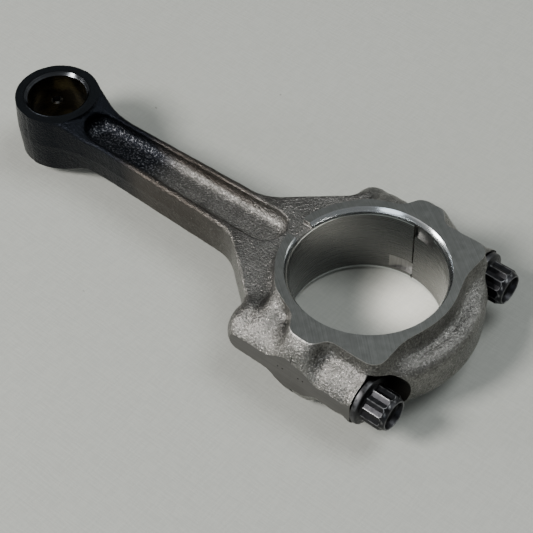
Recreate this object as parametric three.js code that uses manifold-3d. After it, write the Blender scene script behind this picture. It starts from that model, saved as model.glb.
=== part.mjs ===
// Connecting rod of a piston engine: forged rod, bearing cap, two cap bolts,
// two locating sleeves and a small-end bush. Millimetres, +Z up, lying on its side
// face, with +X from the small end towards the cap.
import * as THREE from 'three';
import { mergeVertices } from 'three/addons/utils/BufferGeometryUtils.js';
import Module from 'manifold-3d';

const wasm = await Module();
wasm.setup();

// ---- Driving dimensions ----------------------------------------------------

// The drawing frame has its origin on the big-end bore axis at mid-thickness.
const centreDistance = 151.5;
const gap = 0.3;               // left between neighbouring pieces
const overcut = 2;             // how far a cutting tool runs past what it cuts
const roundSteps = 72;         // facets around a large circle
const holeSteps = 32;          // facets around a small hole

const bigBoreRadius = 28;
const bigHalfWidth = 16.75;
const bigChamferRadius = 29.4;
const bigChamferDepth = 3;
const ringRadius = 33.2;       // machined side ring around the big bore

const smallHalfWidth = 12.4;
const eyeRadius = 16.3;        // at the side faces
const eyeDraftRadius = 16.9;   // at mid-thickness
const eyeBoreRadius = 13.2;
const bushBoreRadius = 11.6;
const bushChamfer = 1.1;
const oilHoleRadius = 1.5;
const oilHoleAngle = THREE.MathUtils.degToRad(142);
const oilHoleHeight = -1.5;

const shankHalfHeight = 8.25;
const eyeRampX = [-139, -128];      // where the eye's side face slopes down to the shank
const shoulderHalfHeight = 8.8;
const shoulderRampX = [-62, -44];   // where the shank rises to the shoulders
const neckHalfWidth = 9.3;     // shank beside the small end
const rootHalfWidth = 10.6;    // shank beside the big end
const rootX = -61.2;
const neckFlareRadius = 60;
const rootFlareRadius = 18;
const flankAngle = THREE.MathUtils.degToRad(39.5);
const webHalfThickness = 2.6;
const troughSmallEnd = { x: -127.5, radius: 6.8 };
const troughLargeEnd = { x: -46.4, radius: 8 };
const troughBottomRadius = 4.6;

const boltOffset = 34.8;       // bolt axis from the rod's centre line
const bossRadius = 9.7;
const bossFlat = 43.6;         // machined side flats, from the centre line
const bossEndX = -31.5;
const bossCornerRadius = 5.5;
const ribTopY = 38.7;          // joint rib: outer edge of the side face
const ribFlatHalfHeight = 4.8; // joint rib: half height of the side flat
const seatX = 25.3;            // spot face that the bolt flange clamps
const spotFaceRadius = 12.0;

const strapReach = 41.5;       // outermost point of the cap
const strapRadius = 46;
const strapHalfHeight = 9;
const strapBevel = 3.5;
const shoulderX = 28.4;        // square shoulders of the cap's side face
const shoulderY = 33.4;
const shoulderCorner = 5;

const boltRadius = 4.5;        // M9 x 1
const boltHoleRadius = boltRadius + gap;
const boltWaistRadius = 4;
const boltWaistX = [7, 19];
const boltWaistStep = 0.5;
const boltTipX = -24;
const boltEndChamfer = 1;
const flangeRadius = 9.2;
const flangeThickness = 2.5;
const flangeEdge = 0.5;        // chamfer around the flange
const flangeRise = 0.5;        // slope of the flange's top towards the head
const headTopX = 37.5;
const headAcrossFlats = 12;
const headTopRadius = 5.5;
const headShoulderRadius = 6.25;
const headConeStart = 3.2;     // back from the head's top, as is the next
const headConeEnd = 2.1;
const headRecessRadius = 5;
const headRecessDepth = 2;
const headRecessTaper = 0.6;

const sleeveRadius = 5.5;
const sleeveHalfLength = 5;
const sleeveLead = 0.4;

const tangDepth = 1.6;         // slots in the bore for the bearing shells' tangs, at the joint
const tangCutterRadius = 15;
const rodTang = [-12.4, -6.2];
const capTang = [9, 14.6];
const reliefHalfWidth = 4.3;   // notch across the ring towards the shank
const reliefDepth = 2.6;

// ---- Materials -------------------------------------------------------------

function metal(color, roughness, metalness) {
  return new THREE.MeshStandardMaterial({ color, roughness, metalness });
}
const forgedSteel = metal(0x77736d, 0.5, 0.8);
const blackenedSteel = metal(0x17181a, 0.35, 0.7);
const plainSteel = metal(0x9a9a98, 0.35, 0.9);
const bronze = metal(0x4a4026, 0.4, 0.9);

// ---- Solids ----------------------------------------------------------------

function solid(geometry) {
  const bare = geometry.clone();
  bare.deleteAttribute('normal');
  bare.deleteAttribute('uv');
  const merged = mergeVertices(bare, 1e-4);
  const corners = merged.index.array;
  const kept = [];
  for (let i = 0; i < corners.length; i += 3) {
    const [a, b, c] = corners.slice(i, i + 3);
    if (a !== b && b !== c && c !== a) kept.push(a, b, c);
  }
  return new wasm.Manifold(new wasm.Mesh({
    numProp: 3,
    vertProperties: new Float32Array(merged.attributes.position.array),
    triVerts: new Uint32Array(kept),
  }));
}

function piece(name, body, material) {
  const result = body.getMesh();
  const geometry = new THREE.BufferGeometry();
  geometry.setAttribute('position', new THREE.BufferAttribute(result.vertProperties, 3));
  geometry.setIndex(new THREE.BufferAttribute(result.triVerts, 1));
  geometry.computeVertexNormals();
  const mesh = new THREE.Mesh(geometry, material);
  mesh.name = name;
  return mesh;
}

function block(low, high) {
  const size = high.map((value, i) => value - low[i]);
  const centre = high.map((value, i) => (value + low[i]) / 2);
  return solid(new THREE.BoxGeometry(...size).translate(...centre));
}

// A plan outline, extruded evenly about mid-thickness.
function plate(shape, halfHeight) {
  const geometry = new THREE.ExtrudeGeometry(shape, {
    depth: 2 * halfHeight,
    curveSegments: 6,
    bevelEnabled: false,
  });
  return solid(geometry.translate(0, 0, -halfHeight));
}

// A closed outline of [along X, height Z] points, extruded across Y.
function sideProfile(points, halfWidth) {
  const shape = new THREE.Shape(points.map(([x, z]) => new THREE.Vector2(x, z)));
  const geometry = new THREE.ExtrudeGeometry(shape, { depth: 2 * halfWidth, bevelEnabled: false });
  return solid(geometry.translate(0, 0, -halfWidth).rotateX(Math.PI / 2));
}

// A profile of [radius, position] points turned about Z at (x, y).
function turnedZ(points, x = 0, y = 0, steps = roundSteps) {
  const profile = points.map(([radius, height]) => new THREE.Vector2(radius, height));
  return solid(new THREE.LatheGeometry(profile, steps).rotateX(Math.PI / 2).translate(x, y, 0));
}

// A profile of [radius, position] points turned about the X line at height 0 and the given y.
function turnedX(points, y = 0, steps = holeSteps) {
  const profile = points.map(([radius, position]) => new THREE.Vector2(radius, position));
  return solid(new THREE.LatheGeometry(profile, steps).rotateZ(-Math.PI / 2).translate(0, y, 0));
}

function rodBar(radius, from, to) {
  return [[0, from], [radius, from], [radius, to], [0, to]];
}

const bothSides = [-1, 1];
const far = 100;               // beyond the part in every direction across its length
const ribRootY = ringRadius - 8;  // inside the side ring, where a rib's plan starts

// ---- Shared cutting tools --------------------------------------------------

const chamferSlope = (bigChamferRadius - bigBoreRadius) / bigChamferDepth;
const bigMouthRadius = bigChamferRadius + overcut * chamferSlope;
const bigBoreCut = turnedZ([
  [0, -bigHalfWidth - overcut],
  [bigMouthRadius, -bigHalfWidth - overcut],
  [bigBoreRadius, -bigHalfWidth + bigChamferDepth],
  [bigBoreRadius, bigHalfWidth - bigChamferDepth],
  [bigMouthRadius, bigHalfWidth + overcut],
  [0, bigHalfWidth + overcut],
]);

const oilHoleCut = solid(
  new THREE.CylinderGeometry(oilHoleRadius, oilHoleRadius, eyeRadius, 20)
    .rotateZ(Math.PI / 2)
    .translate(eyeRadius, 0, 0)
    .rotateZ(oilHoleAngle)
    .translate(-centreDistance, 0, oilHoleHeight),
);

const pastFlats = bothSides.map((side) => {
  const low = side < 0 ? -far : bossFlat;
  const high = side < 0 ? -bossFlat : far;
  return block([-far, low, -far], [far, high, far]);
});

// A slot that runs out along the bore wall, as a disc cutter leaves it.
function tangSlot([from, to]) {
  return turnedZ(rodBar(tangCutterRadius, from, to), 0, bigBoreRadius + tangDepth - tangCutterRadius);
}

function boltHole(side, from, to) {
  return turnedX(rodBar(boltHoleRadius, from, to), side * boltOffset);
}

function sleevePocket(side) {
  const reach = sleeveHalfLength + gap;
  return turnedX(rodBar(sleeveRadius + gap, -reach, reach), side * boltOffset);
}

// ---- Shared blanks ---------------------------------------------------------

// Rib that carries the side face out over the joint: plan trapezium crossed with
// a section that slopes from the side faces down to the machined flats.
function jointRib(side, flank) {
  const plan = new THREE.Shape(flank.map(([x, y]) => new THREE.Vector2(x, side * y)));
  const upper = [
    [ribRootY, bigHalfWidth], [ribTopY, bigHalfWidth], [bossFlat, ribFlatHalfHeight],
  ];
  const lower = upper.map(([y, z]) => [y, -z]).reverse();
  const section = [...upper, ...lower];
  const across = new THREE.Shape(section.map(([y, z]) => new THREE.Vector2(y, z)));
  const along = new THREE.ExtrudeGeometry(across, { depth: 2 * far, bevelEnabled: false })
    .translate(0, 0, -far)
    .applyMatrix4(new THREE.Matrix4().makeBasis(
      new THREE.Vector3(0, 1, 0), new THREE.Vector3(0, 0, 1), new THREE.Vector3(1, 0, 0)));
  if (side < 0) along.rotateX(Math.PI);
  return plate(plan, bigHalfWidth).intersect(solid(along));
}

const rodRibFlank = [
  [0, ribRootY], [-12.5, ribRootY], [-12.5, 30.75], [-3, bossFlat], [0, bossFlat],
];
const capRibFlank = [
  [0, ribRootY], [0, bossFlat], [3.4, bossFlat], [11.2, 33.8], [11.2, ribRootY],
];

// ---- Rod body --------------------------------------------------------------

// Half outline of the shank and shoulders at mid-thickness, from the small-end eye to the
// joint, mirrored about the centre line.
function rodOutline() {
  const flareY = neckHalfWidth + neckFlareRadius;
  const eyeToFlare = eyeDraftRadius + neckFlareRadius;
  const flareX = -centreDistance + Math.sqrt(eyeToFlare ** 2 - flareY ** 2);
  const flareStart = Math.PI + Math.asin(flareY / eyeToFlare);
  const rootY = rootHalfWidth + rootFlareRadius;
  const flankStart = new THREE.Vector2(
    rootX + rootFlareRadius * Math.sin(flankAngle),
    rootY - rootFlareRadius * Math.cos(flankAngle));
  const flankEndY = flankStart.y + (bossEndX - flankStart.x) * Math.tan(flankAngle);
  const upper = new THREE.Path();
  upper.moveTo(-centreDistance, 0);
  upper.absarc(flareX, flareY, neckFlareRadius, flareStart, 1.5 * Math.PI, false);
  upper.absarc(rootX, rootY, rootFlareRadius, -Math.PI / 2, -Math.PI / 2 + flankAngle, false);
  upper.lineTo(bossEndX, flankEndY);
  upper.lineTo(bossEndX, boltOffset);
  upper.lineTo(overcut, boltOffset);
  const half = upper.getPoints(10);
  const mirrored = half.slice(1).reverse().map((point) => new THREE.Vector2(point.x, -point.y));
  return new THREE.Shape([...half, ...mirrored]);
}

function rodSideProfile() {
  const upper = [
    [-centreDistance - far, smallHalfWidth],
    [eyeRampX[0], smallHalfWidth], [eyeRampX[1], shankHalfHeight],
    [shoulderRampX[0], shankHalfHeight], [shoulderRampX[1], shoulderHalfHeight],
    [overcut, shoulderHalfHeight],
  ];
  const lower = upper.map(([x, z]) => [x, -z]).reverse();
  return sideProfile([...lower, ...upper], far);
}

// Tapered trough with round ends and a round bottom, pressed into one side of the shank.
function trough(side) {
  const small = troughSmallEnd;
  const large = troughLargeEnd;
  const tilt = Math.acos((small.radius - large.radius) / (large.x - small.x));
  const outline = new THREE.Shape();
  outline.absarc(large.x, 0, large.radius, -tilt, tilt, false);
  outline.absarc(small.x, 0, small.radius, tilt, 2 * Math.PI - tilt, false);
  const depth = shankHalfHeight - webHalfThickness;
  const geometry = new THREE.ExtrudeGeometry(outline, {
    depth: shankHalfHeight,
    curveSegments: 10,
    bevelThickness: depth,
    bevelSize: troughBottomRadius,
    bevelOffset: -troughBottomRadius,
    bevelSegments: 4,
  });
  geometry.translate(0, 0, shankHalfHeight);
  if (side < 0) geometry.rotateX(Math.PI);
  return solid(geometry);
}

function rodBoss(side) {
  const bend = bossCornerRadius;
  const shape = [[0, bossEndX]];
  for (let i = 0; i <= 4; i += 1) {
    const angle = (i / 4) * (Math.PI / 2);
    shape.push([bossRadius - bend + bend * Math.sin(angle), bossEndX + bend - bend * Math.cos(angle)]);
  }
  shape.push([bossRadius, overcut], [0, overcut]);
  return turnedX(shape, side * boltOffset);
}

function rodBody() {
  let body = plate(rodOutline(), bigHalfWidth).intersect(rodSideProfile());
  body = body.add(turnedZ([
    [0, -smallHalfWidth], [eyeRadius, -smallHalfWidth], [eyeDraftRadius, 0],
    [eyeRadius, smallHalfWidth], [0, smallHalfWidth],
  ], -centreDistance));
  body = body.add(turnedZ(rodBar(ringRadius, -bigHalfWidth, bigHalfWidth)));
  for (const side of bothSides) {
    body = body.add(rodBoss(side)).add(jointRib(side, rodRibFlank));
  }
  body = body.subtract(block([-gap / 2, -far, -far], [far, far, far]));
  for (const side of bothSides) {
    body = body.subtract(trough(side));
    body = body.subtract(boltHole(side, bossEndX - overcut, overcut)).subtract(sleevePocket(side));
    const floor = side * (bigHalfWidth - reliefDepth);
    const open = side * far;
    body = body.subtract(block(
      [-ringRadius - overcut, -reliefHalfWidth, Math.min(floor, open)],
      [-bigBoreRadius + overcut, reliefHalfWidth, Math.max(floor, open)]));
  }
  for (const beyond of pastFlats) body = body.subtract(beyond);
  body = body.subtract(bigBoreCut);
  body = body.subtract(turnedZ(rodBar(eyeBoreRadius, -far, far), -centreDistance));
  body = body.subtract(oilHoleCut);
  body = body.subtract(tangSlot(rodTang));
  return piece('rod_body', body, forgedSteel);
}

// ---- Cap -------------------------------------------------------------------

function capPad() {
  const shape = new THREE.Shape();
  const cornerX = shoulderX - shoulderCorner;
  const cornerY = shoulderY - shoulderCorner;
  shape.moveTo(-overcut, -shoulderY);
  shape.absarc(cornerX, -cornerY, shoulderCorner, -Math.PI / 2, 0, false);
  shape.absarc(cornerX, cornerY, shoulderCorner, 0, Math.PI / 2, false);
  shape.lineTo(-overcut, shoulderY);
  return plate(shape, bigHalfWidth);
}

function capStrap() {
  const rim = strapRadius - strapBevel;
  const edge = strapHalfHeight - strapBevel;
  const disc = turnedZ([
    [0, -strapHalfHeight], [rim, -strapHalfHeight], [strapRadius, -edge],
    [strapRadius, edge], [rim, strapHalfHeight], [0, strapHalfHeight],
  ], strapReach - strapRadius, 0, 96);
  return disc.intersect(block([-overcut, -boltOffset, -far], [far, boltOffset, far]));
}

function rodCap() {
  let body = capStrap().add(capPad());
  body = body.add(turnedZ(rodBar(ringRadius, -bigHalfWidth, bigHalfWidth)));
  for (const side of bothSides) {
    const y = side * boltOffset;
    body = body.add(turnedX(rodBar(bossRadius, -overcut, seatX), y));
    body = body.add(jointRib(side, capRibFlank));
    body = body.subtract(turnedX(rodBar(spotFaceRadius, seatX, far), y));
    body = body.subtract(boltHole(side, -overcut, seatX + overcut)).subtract(sleevePocket(side));
  }
  body = body.subtract(block([-far, -far, -far], [gap / 2, far, far]));
  for (const beyond of pastFlats) body = body.subtract(beyond);
  body = body.subtract(bigBoreCut);
  body = body.subtract(tangSlot(capTang));
  return piece('rod_cap', body, forgedSteel);
}

// ---- Bolts, sleeves and bush -----------------------------------------------

const headCrownRadius = headAcrossFlats / 2 / Math.cos(Math.PI / 6);
const headValleyRadius = headAcrossFlats / 2 / Math.cos(Math.PI / 12);

// Outline of a twelve-point head: two hexagons turned 30 degrees apart.
function headStar() {
  const points = [];
  for (let i = 0; i < 24; i += 1) {
    const radius = i % 2 === 0 ? headCrownRadius : headValleyRadius;
    const angle = (i * Math.PI) / 12;
    points.push(new THREE.Vector2(radius * Math.cos(angle), radius * Math.sin(angle)));
  }
  return new THREE.Shape(points);
}

function capBolt(name, side) {
  const y = side * boltOffset;
  const flangeX = seatX + gap;
  const flangeTopX = flangeX + flangeThickness;
  const stem = turnedX([
    [0, boltTipX], [boltRadius - boltEndChamfer, boltTipX],
    [boltRadius, boltTipX + boltEndChamfer], [boltRadius, boltWaistX[0]],
    [boltWaistRadius, boltWaistX[0] + boltWaistStep],
    [boltWaistRadius, boltWaistX[1] - boltWaistStep],
    [boltRadius, boltWaistX[1]], [boltRadius, flangeX], [flangeRadius - flangeEdge, flangeX],
    [flangeRadius, flangeX + flangeEdge], [flangeRadius, flangeTopX - flangeEdge],
    [headCrownRadius, flangeTopX + flangeRise], [0, flangeTopX + flangeRise],
  ], y, 36);
  const headLength = headTopX - flangeX;
  const star = new THREE.ExtrudeGeometry(headStar(), { depth: headLength, bevelEnabled: false })
    .rotateY(Math.PI / 2)
    .translate(flangeX, y, 0);
  const dome = turnedX([
    [0, flangeX], [flangeRadius, flangeX], [flangeRadius, flangeTopX],
    [headCrownRadius, headTopX - headConeStart],
    [headShoulderRadius, headTopX - headConeEnd],
    [headTopRadius, headTopX], [0, headTopX],
  ], y, 36);
  const recess = turnedX([
    [0, headTopX - headRecessDepth],
    [headRecessRadius - headRecessTaper, headTopX - headRecessDepth],
    [headRecessRadius, headTopX + overcut], [0, headTopX + overcut],
  ], y, 24);
  const head = solid(star).intersect(dome);
  return piece(name, stem.add(head).subtract(recess), blackenedSteel);
}

function locatingSleeve(name, side) {
  const leadRadius = sleeveRadius - sleeveLead;
  const leadX = sleeveHalfLength - sleeveLead;
  const ring = turnedX([
    [boltHoleRadius, -sleeveHalfLength], [leadRadius, -sleeveHalfLength],
    [sleeveRadius, -leadX], [sleeveRadius, leadX],
    [leadRadius, sleeveHalfLength], [boltHoleRadius, sleeveHalfLength],
    [boltHoleRadius, -sleeveHalfLength],
  ], side * boltOffset, 28);
  return piece(name, ring, plainSteel);
}

function smallEndBush() {
  const outer = eyeBoreRadius - gap;
  const mouth = bushBoreRadius + bushChamfer;
  const ring = turnedZ([
    [mouth, -smallHalfWidth], [outer, -smallHalfWidth], [outer, smallHalfWidth],
    [mouth, smallHalfWidth], [bushBoreRadius, smallHalfWidth - bushChamfer],
    [bushBoreRadius, -smallHalfWidth + bushChamfer], [mouth, -smallHalfWidth],
  ], -centreDistance, 0, 60);
  return piece('small_end_bush', ring.subtract(oilHoleCut), bronze);
}

// ---- Assembly --------------------------------------------------------------

const connectingRod = new THREE.Group();
connectingRod.add(
  rodBody(),
  rodCap(),
  smallEndBush(),
  capBolt('cap_bolt_near', -1),
  capBolt('cap_bolt_far', 1),
  locatingSleeve('locating_sleeve_near', -1),
  locatingSleeve('locating_sleeve_far', 1),
);

// The part's own origin is the middle of its footprint, on the face it lies on.
const smallEndReach = centreDistance + eyeDraftRadius;
connectingRod.position.set((smallEndReach - strapReach) / 2, 0, bigHalfWidth);

export default connectingRod;
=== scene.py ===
import itertools
import math

import bmesh
import bpy
import numpy as np
from mathutils import Matrix, Vector


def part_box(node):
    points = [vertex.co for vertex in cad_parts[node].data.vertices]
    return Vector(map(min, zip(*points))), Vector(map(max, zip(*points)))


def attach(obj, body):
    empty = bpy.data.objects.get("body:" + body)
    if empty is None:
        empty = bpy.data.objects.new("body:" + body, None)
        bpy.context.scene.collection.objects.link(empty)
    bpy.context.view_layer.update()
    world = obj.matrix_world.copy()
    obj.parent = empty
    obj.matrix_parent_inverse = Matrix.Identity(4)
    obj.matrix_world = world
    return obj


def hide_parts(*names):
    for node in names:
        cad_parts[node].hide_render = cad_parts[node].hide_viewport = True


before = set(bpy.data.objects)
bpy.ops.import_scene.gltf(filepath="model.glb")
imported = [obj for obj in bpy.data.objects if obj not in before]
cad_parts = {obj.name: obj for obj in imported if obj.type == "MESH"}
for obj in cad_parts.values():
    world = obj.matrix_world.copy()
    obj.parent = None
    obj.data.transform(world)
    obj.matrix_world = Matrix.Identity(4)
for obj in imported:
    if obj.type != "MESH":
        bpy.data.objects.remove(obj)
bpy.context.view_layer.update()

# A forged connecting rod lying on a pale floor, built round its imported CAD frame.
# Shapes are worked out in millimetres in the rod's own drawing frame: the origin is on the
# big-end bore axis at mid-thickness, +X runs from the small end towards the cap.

MM = 1000.0

# ---- Places and sizes read from the frame -----------------------------------


def box_mm(node):
    low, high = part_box(node)
    return np.array(low) * MM, np.array(high) * MM


rod_low, rod_high = box_mm("rod_body")
cap_low, cap_high = box_mm("rod_cap")
bush_low, bush_high = box_mm("small_end_bush")
bolt_low, bolt_high = box_mm("cap_bolt_far")
sleeve_low, sleeve_high = box_mm("locating_sleeve_far")

ORIGIN = np.array([(rod_high[0] + cap_low[0]) / 2, 0, (rod_low[2] + rod_high[2]) / 2])
HALF_WIDTH = (rod_high[2] - rod_low[2]) / 2          # of the big end
FLAT_Y = rod_high[1]                                 # machined side flats
STRAP_REACH = cap_high[0] - ORIGIN[0]
EYE_X = (bush_low[0] + bush_high[0]) / 2 - ORIGIN[0]
EYE_HALF = (bush_high[2] - bush_low[2]) / 2
EYE_RADIUS = EYE_X + ORIGIN[0] - rod_low[0]          # at mid-thickness
BOLT_Y = (bolt_low[1] + bolt_high[1]) / 2
FLANGE_RADIUS = (bolt_high[1] - bolt_low[1]) / 2
HEAD_TOP = bolt_high[0] - ORIGIN[0]
BOLT_TIP = bolt_low[0] - ORIGIN[0]
SLEEVE_RADIUS = (sleeve_high[1] - sleeve_low[1]) / 2
SLEEVE_HALF = (sleeve_high[0] - sleeve_low[0]) / 2
SIDES = {"near": -1, "far": 1}

# ---- Driving dimensions, as the design has them -------------------------------

JOINT_GAP = 0.03
OVERCUT = 2.0                # how far a cutting tool runs past what it cuts
FAR = 60.0                   # past the part, across its length
STOCK = 0.9                  # forged material left for machining

BORE_RADIUS = 28.0
CHAMFER_RADIUS = 29.4
CHAMFER_DEPTH = 3.0
CHAMFER_CURVE = 1.7          # power that rounds the lead-in towards the side face
RING_RADIUS = 32.5
RING_DRAFT = 0.06            # growth of a wall's reach for each millimetre down from its top

EYE_DRAFT = 0.048
EYE_EDGE = 0.4
EYE_BORE_RADIUS = 13.2
BUSH_BORE_RADIUS = 11.6
BUSH_CHAMFER = 1.1
BUSH_EDGE = 0.15
PRESS_GAP = 0.02             # between the bush and the eye
OIL_HOLE_RADIUS = 1.5
OIL_HOLE_ANGLE = math.radians(142)
OIL_HOLE_HEIGHT = -1.5
OIL_HOLE_SINK = 0.6          # broken edge at its inner mouth

SHANK_HALF_HEIGHT = 8.25
EYE_RAMP = (-142.5, -127.0)
SHOULDER_HALF_HEIGHT = 8.8
SHOULDER_RAMP = (-62.0, -44.0)
NECK_HALF_WIDTH = 9.3
NECK_FLARE_RADIUS = 60.0
ROOT_HALF_WIDTH = 10.6
ROOT_FLARE_RADIUS = 18.0
ROOT_X = -61.2
FLANK_ANGLE = math.radians(39.5)
SHANK_EDGE = 1.2
SHANK_SWELL = (0.35, 40.0)           # widening past the eye: amount, and over what length
SHANK_DRAFT = 0.055
FLASH = (0.06, 0.8)                  # trace of the parting line: height, half width
TROUGH_SMALL = (-127.5, 6.8)         # centre along the rod, radius
TROUGH_LARGE = (-46.4, 8.0)
TROUGH_BOTTOM_RADIUS = 4.6
TROUGH_RIM = 1.0
WEB_HALF_THICKNESS = 2.6

BOSS_RADIUS = 9.5
BOSS_DIP = (-23.0, 2.8, 0.7)         # hollow across the boss's crest: middle, half width, depth
BOSS_DIP_FADE = (3, 7)               # heights between which that hollow comes in
BOSS_END = -31.2
BOSS_CORNER = 7.2
RAMP = ((-17.4, 21.0, 13.8), (-17.4, 34.6, 5.1))     # gusset from the ring down to the boss
RAMP_RADIUS = 4.5
SEAT_X = 25.3
SPOT_FACE_RADIUS = 12.0
CAP_BOSS_DIPS = ((10, 2.6, 0.3), (21.8, 1.3, 0.35))  # middle, half width, depth
CAP_BOSS_FLARE = (22.5, 25.0)        # swell of the boss towards its seat: from, to
CAP_BOSS_FLARE_HEIGHT = 0.3

SHOULDER_X = 28.4
SHOULDER_Y = 33.4
SHOULDER_CORNER = 5.0
STRAP_RADIUS = 46.0
STRAP_HALF_HEIGHT = 9.2
STRAP_RISE = 0.06            # for each millimetre out from the middle of the strap
STRAP_MIDDLE_X = 37.5
STRAP_EDGE = 5.0
STRAP_END_EDGE = 2.0
RIB_TOP_Y = 38.7
RIB_FLAT_HALF_HEIGHT = 3.2
RIB_ROUND = 14.0
RIB_SHY = 0.8                # how far the rib alone stays inside the side flat
RIB_UNDERCUT = 1.5           # how much shallower the rib is below mid-thickness
RIB_UNDERCUT_FADE = 5        # depth at which it reaches that
RIB_PLAN_EDGE = 4.5
RIB_EDGE = 3.0
RIB_ROOT_Y = 18.0
RIB_DRAFT = 0.22
PAD_DRAFT = 0.10
ROD_RIB_FLANK = ((-8.5, 36.0), (-12.5, 30.8))
ROD_RIB_END = -6.5
CAP_RIB_FLANK = ((11.0, 34.0), (7.3, 38.7))
CAP_RIB_END = 7.3

# Blend widths where the forgings' bodies meet, for blend() and trim().
EYE_BLEND = 1.0
ROD_RING_BLEND, CAP_RING_BLEND = 3.2, 3.0
ROD_BOSS_BLEND, CAP_BOSS_BLEND = 3.6, 3.0
ROD_RIB_BLEND, CAP_RIB_BLEND = 5.5, 4.0
RAMP_BLEND = 3.6
STRAP_BLEND = 7.0

BOLT_RADIUS = 4.45
BOLT_HOLE_RADIUS = 4.8
BOLT_WAIST_RADIUS = 4.0
BOLT_WAIST = (7.0, 19.0)
THREAD_END = -3.5
THREAD_PITCH = 1.0
THREAD_DEPTH = 0.52
THREAD_CLEARANCE = 0.08
THREAD_RINGS = 10            # rings of points in one turn
BOLT_LEAD = 1.1              # chamfer at the tip
SLEEVE_LEAD = 0.5
HEAD_ACROSS_FLATS = 12.0
FLUTE_START = 3.3            # past the seat
# The head's points are painted lighter: partly rubbed wear, partly painted highlight.
RIDGE_WEAR_AND_SHEEN = 0.022           # radians either side of each point of the head

TANG_DEPTH = 1.6
TANG_CUTTER_RADIUS = 15.0
ROD_TANG = (-12.4, -6.2)
CAP_TANG = (9.0, 14.6)
RELIEF_HALF_WIDTH = 4.3
RELIEF_DEPTH = 2.2
RELIEF_CORNER = 0.6
RELIEF_EDGE = 0.3
JOINT_EDGE = 0.3             # broken edge where the joint meets the bore
PUNCH_HEIGHT = 1.6           # above mid-thickness, of the punch marks on the near flat
PUNCH_RADIUS = 0.5
PUNCH_PLACES = (3.4, 5.4)    # along X, either side of the joint

GRID_STEP = 0.5
GRID_MARGIN = (2.0, 4.0, 2.5)        # sampled space round a forging, along X, Y and Z
JOINT_MARGIN = 3.5           # how far a blank runs past the joint before it is faced
SKIN_WAVES = ((4.2, 0.06), (1.5, 0.06))      # size and height of the forging's unevenness
PROJECTION_PASSES = 3        # moves of the meshed points on to the true surface
LEAST_STEEPNESS = 0.3        # keeps those moves short where a field is flat

# ---- Looks ------------------------------------------------------------------

# Colours are linear. Along the part's own X, in metres: where the heat tint fades out.
BLACK_FROM, BLACK_TO = -0.0425, -0.0225
BROWN_FROM, BROWN_TO = -0.004, 0.036
TROUGH_REACH = 0.007         # how much further from the eye the tint reaches in the trough
STEEL_DULL = (0.155, 0.152, 0.143)
STEEL_CLEAN = (0.21, 0.205, 0.193)
STEEL_PITS = (0.05, 0.048, 0.045)
STEEL_PEAKS = (0.50, 0.485, 0.46)
TINT_BROWN = (0.062, 0.053, 0.046)
TINT_BLACK = (0.011, 0.0125, 0.016)
SCALE_FLECKS = (0.17, 0.175, 0.19)
# A light line along the forging just inside the side faces' edges: partly burnished edge, partly
# painted highlight.
EDGE_BURNISH_AND_SHEEN = (0.62, 0.61, 0.59)
WHEEL_CENTRE = (-0.10, -0.22, 0.0)   # of the grinding wheel's sweep, in metres
FLOOR_COLOUR = (0.425, 0.436, 0.402)
FLOOR_HALF = 3.0
GLINT_PLACE = (6.0, 19.0, 0.0)       # from the bore axis, in millimetres

# Metres and degrees.
CAMERA_LENS = 103.42                 # millimetres, on a 36 mm sensor
CAMERA_TARGET = (0.02584, -0.01025)  # at the height of the big end's mid-thickness
CAMERA_DISTANCE = 0.55405
CAMERA_DIRECTION = (40.576, 49.245)  # azimuth, elevation
CAMERA_ROLL = -1.756
SKY = (0.17, (0.96, 0.99, 1.0))      # strength, colour

# ---- Fields: negative inside the material, in millimetres ----------------------


def blend(a, b, k):
    """Union of two fields with a fillet about 0.85 k in radius."""
    h = np.clip(0.5 + 0.5 * (b - a) / k, 0, 1)
    return b + (a - b) * h - k * h * (1 - h)


def trim(a, b, k):
    """Intersection of two fields with an edge rounded about 0.85 k in radius."""
    return -blend(-a, -b, k)


def rounded(a, b, radius):
    """Intersection of two square faces, with an exact edge radius."""
    ra, rb = a + radius, b + radius
    outside = np.hypot(np.maximum(ra, 0), np.maximum(rb, 0))
    return np.minimum(np.maximum(ra, rb), 0) + outside - radius


def ease(x, start, end):
    """0 before start, 1 after end, smooth between."""
    t = np.clip((x - start) / (end - start), 0, 1)
    return t * t * (3 - 2 * t)


def dip(x, centre, width):
    return np.exp(-(((x - centre) / width) ** 2))


flare_y = NECK_HALF_WIDTH + NECK_FLARE_RADIUS
eye_to_flare = EYE_RADIUS + NECK_FLARE_RADIUS
flare_x = EYE_X + math.sqrt(eye_to_flare**2 - flare_y**2)
flare_start = EYE_X + EYE_RADIUS * (flare_x - EYE_X) / eye_to_flare
root_y = ROOT_HALF_WIDTH + ROOT_FLARE_RADIUS
flank_x = ROOT_X + ROOT_FLARE_RADIUS * math.sin(FLANK_ANGLE)
flank_y = root_y - ROOT_FLARE_RADIUS * math.cos(FLANK_ANGLE)


def half_width(x):
    """Plan half-width of shank and shoulders at mid-thickness."""
    round_eye = np.sqrt(EYE_RADIUS**2 - (np.clip(x, EYE_X, flare_start) - EYE_X) ** 2)
    before = np.clip(x, flare_start, flare_x)
    flare = flare_y - np.sqrt(NECK_FLARE_RADIUS**2 - (before - flare_x) ** 2)
    along = np.clip((x - flare_x) / (ROOT_X - flare_x), 0, 1)
    straight = NECK_HALF_WIDTH + (ROOT_HALF_WIDTH - NECK_HALF_WIDTH) * along
    after = np.clip(x, ROOT_X, flank_x)
    root = root_y - np.sqrt(ROOT_FLARE_RADIUS**2 - (after - ROOT_X) ** 2)
    flank = np.minimum(flank_y + (x - flank_x) * math.tan(FLANK_ANGLE), BOLT_Y)
    stretches = [x < flare_start, x < flare_x, x < ROOT_X, x < flank_x]
    return np.select(stretches, [round_eye, flare, straight, root], flank)


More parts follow.
